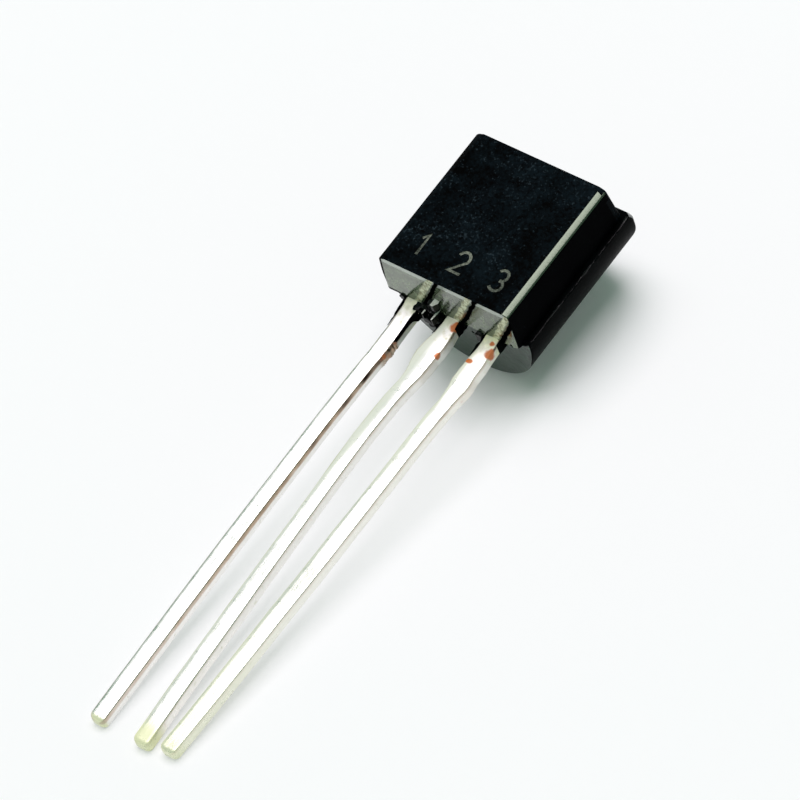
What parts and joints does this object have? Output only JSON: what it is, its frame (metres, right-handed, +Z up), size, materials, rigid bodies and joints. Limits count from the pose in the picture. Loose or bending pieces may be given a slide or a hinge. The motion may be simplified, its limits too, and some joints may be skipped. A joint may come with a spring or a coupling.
{
  "type": "to-92 transistor",
  "caption": "Small transistor in a black moulded case with a flat front and a half-round back, and a row of long slim tinned leads.",
  "frame": {"origin": "on the table, under the centre of the box round the whole transistor", "axes": "+Z up from the table; +Y along the leads from their tips to the case; +X across the leads from emitter to collector, seen with the flat up. It lies at rest: on the round back's lower edge and on the leads' tips, with the flat facing up and tilted 7.8 degrees"},
  "size_m": [0.0046, 0.019, 0.0042],
  "materials": {
    "epoxy": "satin",
    "tinned_copper": "satin",
    "silicon": "polished",
    "attach": "satin",
    "gold": "polished"
  },
  "bodies": {
    "root": {"case": "epoxy", "emitter_lead": "tinned_copper", "base_lead": "tinned_copper", "collector_lead": "tinned_copper", "die": "silicon", "die_attach": "attach", "emitter_bond_wire": "gold", "base_bond_wire": "gold"}
  },
  "joints": []
}
